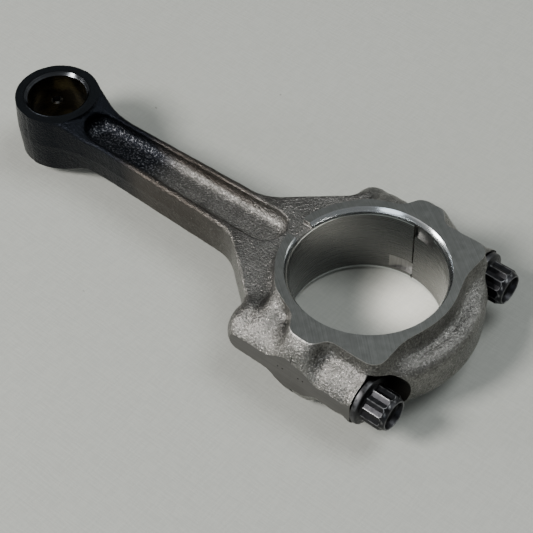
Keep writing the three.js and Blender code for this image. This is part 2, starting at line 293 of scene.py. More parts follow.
def shank_height(x):
    eye = EYE_HALF + STOCK - SHANK_HALF_HEIGHT
    shoulder = SHOULDER_HALF_HEIGHT - SHANK_HALF_HEIGHT
    return SHANK_HALF_HEIGHT + eye * (1 - ease(x, *EYE_RAMP)) + shoulder * ease(x, *SHOULDER_RAMP)


def shank(x, y, z):
    slope = (half_width(x + 0.1) - half_width(x - 0.1)) / 0.2
    swell, swell_length = SHANK_SWELL
    draft = swell * ease(x, EYE_X, EYE_X + swell_length) - SHANK_DRAFT * z
    flash = FLASH[0] * dip(z, 0, FLASH[1])
    side = (y - half_width(x) - draft - flash) / np.sqrt(1 + slope**2)
    side = np.maximum(side, np.abs(x - EYE_X / 2) + EYE_X / 2)
    return rounded(side, z - shank_height(x), SHANK_EDGE)


def trough(x, y, z):
    """Tapered trough with round ends and a round bottom, pressed into the shank's faces."""
    small_x, small_radius = TROUGH_SMALL
    large_x, large_radius = TROUGH_LARGE
    length = large_x - small_x
    sine = (small_radius - large_radius) / length
    cosine = math.sqrt(1 - sine**2)
    u = x - small_x
    along = u * cosine - y * sine
    to_small = np.hypot(u, y) - small_radius
    to_large = np.hypot(u - length, y) - large_radius
    to_side = y * cosine + u * sine - small_radius
    outline = np.select([along < 0, along > cosine * length], [to_small, to_large], to_side)
    return rounded(outline, WEB_HALF_THICKNESS - z, TROUGH_BOTTOM_RADIUS)


def eye(x, y, z):
    side = np.hypot(x - EYE_X, y) - (EYE_RADIUS - EYE_DRAFT * z)
    return rounded(side, z - EYE_HALF - STOCK, EYE_EDGE)


def ring(x, y, z):
    side = np.hypot(x, y) - (RING_RADIUS + RING_DRAFT * (HALF_WIDTH - z))
    return np.maximum(side, z - HALF_WIDTH - STOCK)


def capsule(x, y, z, start, end, radius):
    """A round bar with ball ends between two points."""
    start, end = np.array(start), np.array(end)
    along = end - start
    offset = [x - start[0], y - start[1], z - start[2]]
    share = sum(o * a for o, a in zip(offset, along)) / (along**2).sum()
    share = np.clip(share, 0, 1)
    return np.sqrt(sum((o - share * a) ** 2 for o, a in zip(offset, along))) - radius


def beyond(a, b, start, end):
    """Distance past the line from start to end, positive on its right-hand side."""
    da, db = end[0] - start[0], end[1] - start[1]
    return ((a - start[0]) * db - (b - start[1]) * da) / math.hypot(da, db)


foot_y = FLAT_Y - RIB_SHY
chord = np.array([RIB_TOP_Y - foot_y, HALF_WIDTH - RIB_FLAT_HALF_HEIGHT])
sag = math.sqrt(RIB_ROUND**2 - (chord**2).sum() / 4) / np.linalg.norm(chord)
rib_y = (RIB_TOP_Y + foot_y) / 2 - sag * chord[1]
rib_z = (HALF_WIDTH + RIB_FLAT_HALF_HEIGHT) / 2 + sag * chord[0]


def rib(x, y, z, flank, end_x):
    """One half of the rib at the joint, drafted from the side face down to the side flat."""
    under = RIB_UNDERCUT * ease(-z, 0, RIB_UNDERCUT_FADE)
    z = np.abs(z)
    spread = RIB_DRAFT * (HALF_WIDTH - z)
    section = np.hypot(y - rib_y, np.maximum(z + under - rib_z, 0)) - RIB_ROUND
    end = np.sign(end_x) * (x - end_x)
    plan = trim(beyond(x, y, *flank) - spread, end - spread, RIB_PLAN_EDGE)
    body = trim(plan, section, RIB_EDGE)
    return np.maximum(np.maximum(body, z - HALF_WIDTH - STOCK), RIB_ROOT_Y - y)


def relief(x, y, z):
    """Rough notch across the ring, on the side towards the shank."""
    plan = np.maximum(y - RELIEF_HALF_WIDTH, x + BORE_RADIUS - OVERCUT)
    return rounded(plan, HALF_WIDTH - RELIEF_DEPTH - z, RELIEF_CORNER)


def rod_field(x, y, z):
    joint_rib = rib(x, np.abs(y), z, ROD_RIB_FLANK, ROD_RIB_END)
    y, z = np.abs(y), np.abs(z)
    body = blend(shank(x, y, z), eye(x, y, z), EYE_BLEND)
    body = blend(body, ring(x, y, z), ROD_RING_BLEND)
    middle, width, depth = BOSS_DIP
    crest = BOSS_RADIUS - depth * dip(x, middle, width) * ease(z, *BOSS_DIP_FADE)
    boss = rounded(np.hypot(y - BOLT_Y, z) - crest, BOSS_END - x, BOSS_CORNER)
    body = blend(body, boss, ROD_BOSS_BLEND)
    ramp = np.maximum(capsule(x, y, z, *RAMP, RAMP_RADIUS), z - HALF_WIDTH - STOCK)
    body = blend(body, ramp, RAMP_BLEND)
    body = blend(body, joint_rib, ROD_RIB_BLEND)
    body = trim(body, -trough(x, y, z), TROUGH_RIM)
    body = trim(body, -relief(x, y, z), RELIEF_EDGE)
    return np.maximum(body, x - OVERCUT)


def cap_field(x, y, z):
    joint_rib = rib(x, np.abs(y), z, CAP_RIB_FLANK, CAP_RIB_END)
    y, z = np.abs(y), np.abs(z)
    spread = PAD_DRAFT * (HALF_WIDTH - z)
    pad = rounded(x - SHOULDER_X - spread, y - SHOULDER_Y - spread, SHOULDER_CORNER)
    pad = np.maximum(pad, z - HALF_WIDTH - STOCK)
    reach = np.hypot(x + STRAP_RADIUS - STRAP_REACH, y) - STRAP_RADIUS
    strap = rounded(reach, z - STRAP_HALF_HEIGHT - STRAP_RISE * (x - STRAP_MIDDLE_X), STRAP_EDGE)
    strap = trim(strap, y - BOLT_Y - OVERCUT, STRAP_END_EDGE)
    body = blend(strap, pad, STRAP_BLEND)
    body = blend(body, ring(x, y, z), CAP_RING_BLEND)
    radius = BOSS_RADIUS
    for middle, width, depth in CAP_BOSS_DIPS:
        radius = radius - depth * dip(x, middle, width)
    radius = radius + CAP_BOSS_FLARE_HEIGHT * ease(x, *CAP_BOSS_FLARE)
    boss = np.maximum(np.hypot(y - BOLT_Y, z) - radius, x - SEAT_X - OVERCUT)
    body = blend(body, boss, CAP_BOSS_BLEND)
    body = blend(body, joint_rib, CAP_RIB_BLEND)
    return np.maximum(body, -x - OVERCUT)


# ---- Meshing the fields -------------------------------------------------------


def surface_net(values, low, step):
    """Vertices and quads round the zero surface of a sampled field."""
    inside = values < 0
    shape = np.array(values.shape)
    corners = list(itertools.product((0, 1), repeat=3))
    count = sum(
        inside[i : shape[0] - 1 + i, j : shape[1] - 1 + j, k : shape[2] - 1 + k].astype(np.int8)
        for i, j, k in corners
    )
    crossed = (count > 0) & (count < 8)
    cells = np.argwhere(crossed)
    number = np.full(crossed.shape, -1, np.int64)
    number[crossed] = np.arange(len(cells))
    total = np.zeros((len(cells), 3))
    hits = np.zeros(len(cells))
    quads = []
    for axis in range(3):
        along = np.eye(3, dtype=int)[axis]
        for offset in [np.array(c) for c in corners if c[axis] == 0]:
            a = values[tuple((cells + offset).T)]
            b = values[tuple((cells + offset + along).T)]
            hit = (a < 0) != (b < 0)
            t = a[hit] / (a[hit] - b[hit])
            total[hit] += offset + t[:, None] * along
            hits[hit] += 1
        before = np.take(inside, range(shape[axis] - 1), axis)
        after = np.take(inside, range(1, shape[axis]), axis)
        edges = np.argwhere(before != after)
        leaving = before[tuple(edges.T)]
        u = np.eye(3, dtype=int)[(axis + 1) % 3]
        v = np.eye(3, dtype=int)[(axis + 2) % 3]
        quad = np.stack([number[tuple((edges - s).T)] for s in (u + v, v, 0 * u, u)], 1)
        quad[~leaving] = quad[~leaving][:, ::-1]
        quads.append(quad)
    vertices = np.asarray(low) + step * (cells + total / hits[:, None])
    return vertices, np.concatenate(quads)


def slopes(field, points):
    """Gradient of a field at scattered points, by central differences."""
    delta = 0.05
    result = np.empty_like(points)
    for axis in range(3):
        shift = np.zeros(3)
        shift[axis] = delta
        result[:, axis] = (field(*(points + shift).T) - field(*(points - shift).T)) / (2 * delta)
    return result


def lattice_noise(points, size, seed):
    """Smooth noise from -1 to 1 with features about size millimetres across."""
    span = 64
    values = np.random.default_rng(seed).uniform(-1, 1, (span, span, span))
    scaled = points / size
    base = np.floor(scaled).astype(int)
    t = scaled - base
    t = t * t * (3 - 2 * t)
    total = np.zeros(len(points))
    for corner in itertools.product((0, 1), repeat=3):
        weight = np.prod(np.where(corner, t, 1 - t), axis=1)
        total += weight * values[tuple(((base + corner) % span).T)]
    return total


def forge(name, field, low, high, material):
    """A forged blank: the field's surface, with the uneven skin of a shot-blasted forging."""
    axes = [np.arange(a, b, GRID_STEP) for a, b in zip(low, high)]
    values = field(*np.ix_(*axes))
    points, quads = surface_net(values, low, GRID_STEP)
    for _ in range(PROJECTION_PASSES):
        gradient = slopes(field, points)
        steep = np.maximum((gradient**2).sum(1), LEAST_STEEPNESS)
        points = points - gradient * (field(*points.T) / steep)[:, None]
    normals = slopes(field, points)
    normals /= np.linalg.norm(normals, axis=1)[:, None]
    skin = sum(
        height * lattice_noise(points, size, seed)
        for seed, (size, height) in enumerate(SKIN_WAVES, start=1)
    )
    return mesh_object(name, points + normals * skin[:, None], quads, [material])


# ---- Mesh building ------------------------------------------------------------


def mesh_object(name, points, faces, materials, face_slots=None):
    """A mesh in the scene from points in the drawing frame's millimetres."""
    mesh = bpy.data.meshes.new(name)
    placed = (np.asarray(points, float) + ORIGIN) / MM
    mesh.from_pydata(placed.tolist(), [], [list(map(int, face)) for face in faces])
    for material in materials:
        mesh.materials.append(material)
    if face_slots is not None:
        mesh.polygons.foreach_set("material_index", face_slots)
    mesh.update()
    thing = bpy.data.objects.new(name, mesh)
    bpy.context.scene.collection.objects.link(thing)
    return thing


def face_outwards(thing):
    bm = bmesh.new()
    bm.from_mesh(thing.data)
    bmesh.ops.recalc_face_normals(bm, faces=bm.faces)
    bm.to_mesh(thing.data)
    bm.free()
    return thing


def block(low, high, material):
    points = list(itertools.product(*zip(low, high)))
    faces = [(0, 1, 3, 2), (4, 6, 7, 5), (0, 4, 5, 1), (2, 3, 7, 6), (0, 2, 6, 4), (1, 5, 7, 3)]
    return face_outwards(mesh_object("block", points, faces, [material]))


def tube_skin(points_by_ring, closed):
    """Quads between neighbouring rings of points; an open skin gets flat ends."""
    count, columns = points_by_ring.shape[:2]
    faces = []
    for i in range(count if closed else count - 1):
        a, b = i * columns, (i + 1) % count * columns
        for j in range(columns):
            following = (j + 1) % columns
            faces.append((a + j, a + following, b + following, b + j))
    if not closed:
        faces.append(tuple(range(columns))[::-1])
        faces.append(tuple(range((count - 1) * columns, count * columns)))
    return faces


def around(axis, radius, angle, position, centre):
    """Points at a radius and angle about the Z or X line through a centre."""
    u, v = radius * np.cos(angle), radius * np.sin(angle)
    position = np.broadcast_to(position, u.shape)
    stacked = {"z": (u, v, position), "x": (position, u, v)}[axis]
    return np.stack(stacked, -1) + np.asarray(centre)


def turned(name, axis, profile, centre, steps, materials, slots=None, closed=False):
    """A solid turned from (radius, position) points, with a material slot for each stretch."""
    radius, position = (np.array(column)[:, None] for column in zip(*profile))
    angle = np.arange(steps) * 2 * math.pi / steps
    points = around(axis, radius * np.ones(steps), angle[None, :], position, centre)
    faces = tube_skin(points, closed)
    stretches = len(profile) if closed else len(profile) - 1
    slots = slots or [0] * stretches
    face_slots = [slots[i // steps] for i in range(stretches * steps)]
    if not closed:
        face_slots += [slots[0], slots[-1]]
    return face_outwards(mesh_object(name, points.reshape(-1, 3), faces, materials, face_slots))


def machine(thing, *steps):
    """Cuts tools from a piece, or joins them to it, and leaves their finish on the new faces."""
    for operation, tool in steps:
        change = thing.modifiers.new("machining", "BOOLEAN")
        change.solver = "MANIFOLD"
        change.material_mode = "TRANSFER"
        change.operation = operation
        change.object = tool
    bpy.context.view_layer.update()
    depsgraph = bpy.context.evaluated_depsgraph_get()
    finished = bpy.data.meshes.new_from_object(thing.evaluated_get(depsgraph))
    thing.modifiers.clear()
    thing.data = finished
    for _, tool in steps:
        bpy.data.objects.remove(tool)
    return thing


def cuts(*tools):
    return [("DIFFERENCE", tool) for tool in tools]


def shade(thing, crease=32):
    """Smooth shading, with crisp edges at creases and where two finishes meet."""
    mesh = thing.data
    mesh.polygons.foreach_set("use_smooth", np.ones(len(mesh.polygons), bool))
    mesh.set_sharp_from_angle(angle=math.radians(crease))
    edges = np.empty(len(mesh.loops), int)
    mesh.loops.foreach_get("edge_index", edges)
    slots = np.empty(len(mesh.polygons), int)
    mesh.polygons.foreach_get("material_index", slots)
    sizes = np.empty(len(mesh.polygons), int)
    mesh.polygons.foreach_get("loop_total", sizes)
    by_loop = np.repeat(slots, sizes)
    lowest = np.full(len(mesh.edges), 999)
    highest = np.full(len(mesh.edges), -1)
    np.minimum.at(lowest, edges, by_loop)
    np.maximum.at(highest, edges, by_loop)
    sharp = mesh.attributes.get("sharp_edge")
    sharp = sharp or mesh.attributes.new("sharp_edge", "BOOLEAN", "EDGE")
    marked = np.empty(len(mesh.edges), bool)
    sharp.data.foreach_get("value", marked)
    sharp.data.foreach_set("value", marked | (lowest != highest))
    return thing


# ---- Materials ------------------------------------------------------------------


def add(tree, kind, inputs=None, **settings):
    """A node with its settings, its inputs given as numbers, colours or other nodes' sockets."""
    node = tree.nodes.new(kind)
    for key, value in settings.items():
        setattr(node, key, value)
    for key, value in (inputs or {}).items():
        if isinstance(value, bpy.types.NodeSocket):
            tree.links.new(value, node.inputs[key])
        else:
            node.inputs[key].default_value = value
    return node


def new_material(name, metallic, roughness):
    """A material with its shader and the piece's own coordinates, in metres."""
    material = bpy.data.materials.new(name)
    material.use_nodes = True
    tree = material.node_tree
    shader = tree.nodes["Principled BSDF"]
    shader.inputs["Metallic"].default_value = metallic
    shader.inputs["Roughness"].default_value = roughness
    place = add(tree, "ShaderNodeTexCoord").outputs["Object"]
    return material, tree, shader, place


def noise(tree, place, size, detail, roughness=0.5):
    """Noise with features about size millimetres across."""
    inputs = {"Vector": place, "Scale": MM / size, "Detail": detail, "Roughness": roughness}
    return add(tree, "ShaderNodeTexNoise", inputs).outputs["Fac"]


def stretched(tree, place, scale):
    return add(tree, "ShaderNodeMapping", {"Vector": place, "Scale": scale}).outputs["Vector"]


def spread(tree, value, from_low, from_high, to_low=0.0, to_high=1.0):
    inputs = {"Value": value, "From Min": from_low, "From Max": from_high}
    inputs.update({"To Min": to_low, "To Max": to_high})
    node = add(tree, "ShaderNodeMapRange", inputs, interpolation_type="SMOOTHSTEP")
    return node.outputs["Result"]


def maths(tree, operation, a, b=0.0, c=0.0):
    return add(tree, "ShaderNodeMath", {0: a, 1: b, 2: c}, operation=operation).outputs[0]


def vector_maths(tree, operation, a, b=(0, 0, 0)):
    return add(tree, "ShaderNodeVectorMath", {0: a, 1: b}, operation=operation).outputs


def mixed(tree, share, a, b):
    inputs = {0: share, 6: a, 7: b}
    return add(tree, "ShaderNodeMix", inputs, data_type="RGBA").outputs[2]


def bumped(tree, shader, layers):
    """Stacks bump layers of (height, depth in millimetres) on a shader."""
    normal = None
    for height, depth in layers:
        inputs = {"Height": height, "Distance": depth / MM, "Strength": 1.0}
        if normal:
            inputs["Normal"] = normal
        normal = add(tree, "ShaderNodeBump", inputs).outputs["Normal"]
    tree.links.new(normal, shader.inputs["Normal"])


def rgb(red, green, blue):
    return (red, green, blue, 1.0)


def forged_steel():
    """Shot-blasted forging: grey at the big end, browned along the shank, black at the eye."""
    material, tree, shader, place = new_material("forged_steel", 1.0, 0.42)
    axes = add(tree, "ShaderNodeSeparateXYZ", {0: place}).outputs
    patches = noise(tree, place, 9.0, 3.0)
    grain = noise(tree, place, 0.8, 3.0, 0.6)
    fine = noise(tree, place, 0.3, 2.0, 0.6)
    clean = mixed(tree, spread(tree, patches, 0.35, 0.65), rgb(*STEEL_DULL), rgb(*STEEL_CLEAN))
    clean = mixed(tree, spread(tree, grain, 0.50, 0.32, 0.0, 0.55), clean, rgb(*STEEL_PITS))
    clean = mixed(tree, spread(tree, grain, 0.54, 0.70, 0.0, 0.65), clean, rgb(*STEEL_PEAKS))
    height = maths(tree, "ABSOLUTE", maths(tree, "SUBTRACT", axes["Z"], HALF_WIDTH / MM))
    side = maths(tree, "ABSOLUTE", axes["Y"])
    pressed = maths(tree, "MULTIPLY", spread(tree, height, 0.0060, 0.0078, 1, 0),
                    spread(tree, side, 0.0058, 0.0074, 1, 0))
    wander = maths(tree, "MULTIPLY_ADD", noise(tree, place, 12.0, 3.0), 0.016, axes["X"])
    wander = maths(tree, "MULTIPLY_ADD", pressed, -TROUGH_REACH, wander)
    brown = spread(tree, wander, BROWN_FROM, BROWN_TO, 1.0, 0.0)
    black = spread(tree, wander, BLACK_FROM, BLACK_TO, 1.0, 0.0)
    brown = maths(tree, "MULTIPLY", brown, spread(tree, pressed, 0, 1, 0.9, 0.15))
    colour = mixed(tree, brown, clean, rgb(*TINT_BROWN))
    fleck = maths(tree, "MULTIPLY", pressed, spread(tree, grain, 0.50, 0.70))
    scale = mixed(tree, fleck, rgb(*TINT_BLACK), rgb(*SCALE_FLECKS))
    colour = mixed(tree, black, colour, scale)
    # Light line just inside the side faces' edges: partly burnished edge, partly painted highlight.
    edge_burnish_and_sheen = spread(tree, height, (HALF_WIDTH - 0.5) / MM, (HALF_WIDTH - 0.1) / MM, 0, 0.6)
    colour = mixed(tree, edge_burnish_and_sheen, colour, rgb(*EDGE_BURNISH_AND_SHEEN))
    tree.links.new(colour, shader.inputs["Base Color"])
    gloss = spread(tree, grain, 0.3, 0.7, 0.37, 0.27)
    tree.links.new(maths(tree, "MULTIPLY_ADD", pressed, 0.05, gloss), shader.inputs["Roughness"])
    strength = spread(tree, pressed, 0, 1, 1.0, 0.85)
    bumps = maths(tree, "MULTIPLY", maths(tree, "SUBTRACT", grain, 0.5), strength)
    bumped(tree, shader, [(bumps, 0.46), (fine, 0.10)])
    return material


def cut_steel(name, colour, roughness, direction, depth, contrast=0.25):
    """Machined steel with fine tool marks across the given direction."""
    material, tree, shader, place = new_material(name, 1.0, roughness)
    marks = noise(tree, stretched(tree, place, direction), 0.5, 2.0, 0.5)
    cloud = noise(tree, place, 7.0, 3.0)
    dark = rgb(*(channel * (1 - contrast) for channel in colour))
    shade_share = maths(tree, "MULTIPLY_ADD", cloud, 0.3, maths(tree, "MULTIPLY", marks, 0.7))
    tone = mixed(tree, spread(tree, shade_share, 0.35, 0.65), dark, rgb(*colour))
    tree.links.new(tone, shader.inputs["Base Color"])
    gloss = spread(tree, marks, 0.3, 0.7, roughness - 0.06, roughness + 0.06)
    tree.links.new(gloss, shader.inputs["Roughness"])
    bumped(tree, shader, [(marks, depth)])
    return material


def ground_face():
    """Side faces ground by a wheel: long shallow arcs and a few scratches."""
    material, tree, shader, place = new_material("ground_face", 1.0, 0.38)
    apart = vector_maths(tree, "SUBTRACT", place, WHEEL_CENTRE)[0]
    flat = vector_maths(tree, "MULTIPLY", apart, (1, 1, 0))[0]
    reach = vector_maths(tree, "LENGTH", flat)["Value"]
    bands = add(tree, "ShaderNodeCombineXYZ", {"X": reach}).outputs[0]
    arcs = noise(tree, bands, 0.5, 4.0, 0.7)
    cloud = noise(tree, place, 3.0, 4.0, 0.6)
    tone = maths(tree, "MULTIPLY_ADD", cloud, 0.3, maths(tree, "MULTIPLY", arcs, 0.7))
    dark, light = rgb(0.21, 0.22, 0.21), rgb(0.30, 0.31, 0.298)
    colour = mixed(tree, spread(tree, tone, 0.35, 0.65), dark, light)
    tree.links.new(colour, shader.inputs["Base Color"])
    tree.links.new(spread(tree, tone, 0.35, 0.65, 0.36, 0.42), shader.inputs["Roughness"])
    bumped(tree, shader, [(arcs, 0.02), (noise(tree, place, 0.4, 2.0), 0.012)])
    return material


def black_oxide():
    """Blackened bolt steel, painted lighter along its ridges, flute ends and rims: partly rubbed
    wear, partly painted highlight.
    """
    material, tree, shader, place = new_material("black_oxide", 1.0, 0.3)
    wear_and_sheen = add(tree, "ShaderNodeAttribute", attribute_name="wear_and_sheen").outputs["Fac"]
    cloud = noise(tree, place, 1.6, 4.0, 0.6)
    # Light grey where the mask is high: partly rubbed wear, partly painted highlight.
    rubbed_and_sheen = maths(tree, "MULTIPLY", wear_and_sheen, spread(tree, cloud, 0.30, 0.60, 0.25, 1.0))
    dark = mixed(tree, cloud, rgb(0.020, 0.020, 0.022), rgb(0.040, 0.040, 0.043))
    tree.links.new(mixed(tree, rubbed_and_sheen, dark, rgb(0.55, 0.55, 0.56)), shader.inputs["Base Color"])
    tree.links.new(spread(tree, cloud, 0.3, 0.7, 0.34, 0.50), shader.inputs["Roughness"])
    bumped(tree, shader, [(noise(tree, place, 0.35, 2.0), 0.016)])
    return material


def oiled_bronze():
    """Bush bronze gone olive with burnt oil."""
    material, tree, shader, place = new_material("oiled_bronze", 1.0, 0.3)
    turned_marks = noise(tree, stretched(tree, place, (0.03, 0.03, 1.0)), 0.35, 3.0, 0.6)
    stain = noise(tree, place, 6.0, 3.0)
    burnt, bare = rgb(0.018, 0.014, 0.008), rgb(0.075, 0.058, 0.026)
    colour = mixed(tree, spread(tree, stain, 0.35, 0.65), burnt, bare)
    tree.links.new(colour, shader.inputs["Base Color"])
    tree.links.new(spread(tree, turned_marks, 0.3, 0.7, 0.24, 0.36), shader.inputs["Roughness"])
    bumped(tree, shader, [(turned_marks, 0.01)])
    return material


def floor_cloth():
    """Pale painted board with a faint woven surface."""
    material, tree, shader, place = new_material("pale_floor", 0.0, 0.75)
    cloud = noise(tree, place, 160.0, 2.0)
    colour = mixed(tree, cloud, rgb(*FLOOR_COLOUR), rgb(*(c * 0.94 for c in FLOOR_COLOUR)))
    warp = noise(tree, stretched(tree, place, (1.0, 0.12, 1.0)), 0.9, 1.0)
    weft = noise(tree, stretched(tree, place, (0.12, 1.0, 1.0)), 0.9, 1.0)
    weave = maths(tree, "ADD", warp, weft)
    colour = mixed(tree, spread(tree, weave, 0.75, 1.25, 0.0, 0.12), colour, rgb(0.2, 0.205, 0.195))
    specks = spread(tree, noise(tree, place, 9.0, 2.0, 0.7), 0.745, 0.77, 0.0, 0.5)
    colour = mixed(tree, specks, colour, rgb(0.1, 0.1, 0.095))
    tree.links.new(colour, shader.inputs["Base Color"])
    bumped(tree, shader, [(weave, 0.08)])
    return material


FORGED = forged_steel()
GROUND = ground_face()
BORED = cut_steel("honed_bore", (0.155, 0.157, 0.154), 0.28, (0.003, 0.003, 1.0), 0.0012, 0.07)
BRIGHT = cut_steel("bright_chamfer", (0.84, 0.87, 0.88), 0.20, (0.004, 0.004, 1.0), 0.002, 0.08)
BLUED = cut_steel("blued_face", (0.034, 0.039, 0.045), 0.38, (1.0, 1.0, 0.05), 0.025)
# Near-black finish for holes, grooves, punch marks and the bolt seats' pockets: painted shade in
# these recesses.
RECESS_SHADE = cut_steel("painted_recess_shade", (0.020, 0.018, 0.016), 0.45, (1.0, 1.0, 1.0), 0.010)
BROACHED = cut_steel("broached_flat", (0.17, 0.165, 0.161), 0.36, (0.02, 1.0, 1.0), 0.010)
FACED = cut_steel("joint_face", (0.42, 0.42, 0.41), 0.30, (1.0, 1.0, 0.05), 0.008)
DRILLED = cut_steel("drilled_hole", (0.24, 0.24, 0.235), 0.38, (1.0, 0.05, 0.05), 0.010)
SLEEVE = cut_steel("ground_sleeve", (0.50, 0.50, 0.49), 0.24, (1.0, 0.04, 0.04), 0.004)
POLISHED = cut_steel("polished_edge", (0.13, 0.137, 0.15), 0.2, (0.02, 0.02, 1.0), 0.003)
OXIDE = black_oxide()
BRONZE = oiled_bronze()


# ---- Pieces -----------------------------------------------------------------------

def bolt_centre(side):
    return (0.0, side * BOLT_Y, 0.0)


def stand(thing, turn, place):
    """Turns a tool made at the drawing frame's origin, then moves it to a place."""
    there = Matrix.Translation((Vector(place) + Vector(ORIGIN)) / MM)
    home = Matrix.Translation(-Vector(ORIGIN) / MM)
    thing.data.transform(there @ turn @ home)


def thread_rings(start, end, radius, depth, angles):
    """Radii and positions of a right-hand thread between two places along X."""
    count = int(round((end - start) / THREAD_PITCH * THREAD_RINGS)) + 1
    position = np.linspace(start, end, count)[:, None]
    phase = (position / THREAD_PITCH - angles / (2 * math.pi)) % 1.0
    crest = np.clip((0.5 - np.abs(phase - 0.5)) * 2.6 - 0.25, 0, 1)
    return radius - depth * (1 - crest), position * np.ones_like(angles)


def side_face_cuts(half, low_x, high_x, finish):
    over = HALF_WIDTH + 5
    top = block((low_x, -FAR, half), (high_x, FAR, over), finish)
    bottom = block((low_x, -FAR, -over), (high_x, FAR, -half), finish)
    return cuts(top, bottom)


def flat_cuts():
    near = block((-FAR, -FAR, -FAR), (FAR, -FLAT_Y, FAR), BROACHED)
    far_side = block((-FAR, FLAT_Y, -FAR), (FAR, FAR, FAR), BROACHED)
    return cuts(near, far_side)


def bore_cut():
    """The bore with its long lead-in at each end, a little rounded towards the side face."""
    share = np.array([0.0, 0.12, 0.25, 0.38, 0.5, 0.62, 0.75, 0.88, 1.0, 1.4])
    radius = BORE_RADIUS + (CHAMFER_RADIUS - BORE_RADIUS) * share**CHAMFER_CURVE
    height = HALF_WIDTH - CHAMFER_DEPTH * (1 - share)
    upper = list(zip(radius, height))
    lower = [(r, -z) for r, z in reversed(upper)]
    stretches = len(share) - 1
    slots = [1] * stretches + [0] + [1] * stretches
    return turned("bore", "z", lower + upper, (0, 0, 0), 360, [BORED, BRIGHT], slots)


def joint_groove(side):
    """Broken edges where the joint meets the bore wall."""
    y = side * BORE_RADIUS
    outline = [(JOINT_EDGE, y), (0, y + JOINT_EDGE), (-JOINT_EDGE, y), (0, y - JOINT_EDGE)]
    points = [(a, b, z) for z in (-HALF_WIDTH - 1, HALF_WIDTH + 1) for a, b in outline]
    faces = [(0, 1, 2, 3), (7, 6, 5, 4)]
    faces += [(i, i + 4, (i + 1) % 4 + 4, (i + 1) % 4) for i in range(4)]
    # The groove gets the near-black finish: painted shade in the groove.
    return face_outwards(mesh_object("groove", points, faces, [RECESS_SHADE]))


def tang_cut(low, high):
    centre = (0, BORE_RADIUS + TANG_DEPTH - TANG_CUTTER_RADIUS, 0)
    profile = [(TANG_CUTTER_RADIUS, low), (TANG_CUTTER_RADIUS, high)]
    return turned("tang", "z", profile, centre, 160, [DRILLED])


def sleeve_pocket(side):
    reach, radius = SLEEVE_HALF + 0.2, SLEEVE_RADIUS + 0.05
    profile = [(radius, -reach), (radius, reach)]
    return turned("pocket", "x", profile, bolt_centre(side), 64, [DRILLED])


def tapped_hole(side):
    angles = np.arange(32) * 2 * math.pi / 32
    radius = BOLT_RADIUS + THREAD_CLEARANCE
    ends = (BOSS_END - 3, -SLEEVE_HALF)
    radii, position = thread_rings(*ends, radius, THREAD_DEPTH, angles[None, :])
    points = around("x", radii, angles[None, :] * np.ones_like(radii), position, bolt_centre(side))
    tool = mesh_object("tap", points.reshape(-1, 3), tube_skin(points, False), [DRILLED])
    return face_outwards(tool)


def punch_mark(x):
    """A shallow round mark in the near side flat."""
    profile = [(0.05, -0.35), (PUNCH_RADIUS, 0.25)]
    # The mark gets the near-black finish: painted shade in the dent.
    mark = turned("punch", "z", profile, (0, 0, 0), 24, [RECESS_SHADE])
    stand(mark, Matrix.Rotation(math.radians(90), 4, "X"), (x, -FLAT_Y, PUNCH_HEIGHT))
    return face_outwards(mark)


def rod_body():
    along, across, up = GRID_MARGIN
    low = (EYE_X - EYE_RADIUS - along, -FLAT_Y - across, -HALF_WIDTH - up)
    high = (JOINT_MARGIN, FLAT_Y + across, HALF_WIDTH + up)
    body = forge("forged_rod", rod_field, low, high, FORGED)
    steps = side_face_cuts(HALF_WIDTH, -FAR, FAR, GROUND)
    steps += side_face_cuts(EYE_HALF, EYE_X - FAR, flare_x, BLUED)
    steps += cuts(block((-JOINT_GAP / 2, -FAR, -FAR), (FAR, FAR, FAR), FACED))
    steps += flat_cuts()
    for side in SIDES.values():
        steps += cuts(tapped_hole(side), sleeve_pocket(side), joint_groove(side))
    eye_profile = [(EYE_BORE_RADIUS, -FAR), (EYE_BORE_RADIUS, FAR)]
    steps += cuts(turned("eye_bore", "z", eye_profile, (EYE_X, 0, 0), 200, [BORED]))
    steps += cuts(bore_cut(), oil_hole(), tang_cut(*ROD_TANG))
    steps += cuts(*(punch_mark(-x) for x in reversed(PUNCH_PLACES)))
    return shade(machine(body, *steps))


def oil_hole():
    """Drill from the bush's bore out through the eye's wall, with a broken inner edge."""
    profile = [
        (OIL_HOLE_RADIUS + 2 * OIL_HOLE_SINK, BUSH_BORE_RADIUS - OIL_HOLE_SINK),
        (OIL_HOLE_RADIUS, BUSH_BORE_RADIUS + OIL_HOLE_SINK),
        (OIL_HOLE_RADIUS, EYE_RADIUS + 3),
    ]
    # The hole's wall gets the near-black finish: painted shade inside the hole.
    drill = turned("drill", "x", profile, (0, 0, 0), 40, [RECESS_SHADE, FACED], [1, 0])
    stand(drill, Matrix.Rotation(OIL_HOLE_ANGLE, 4, "Z"), (EYE_X, 0, OIL_HOLE_HEIGHT))
    return drill


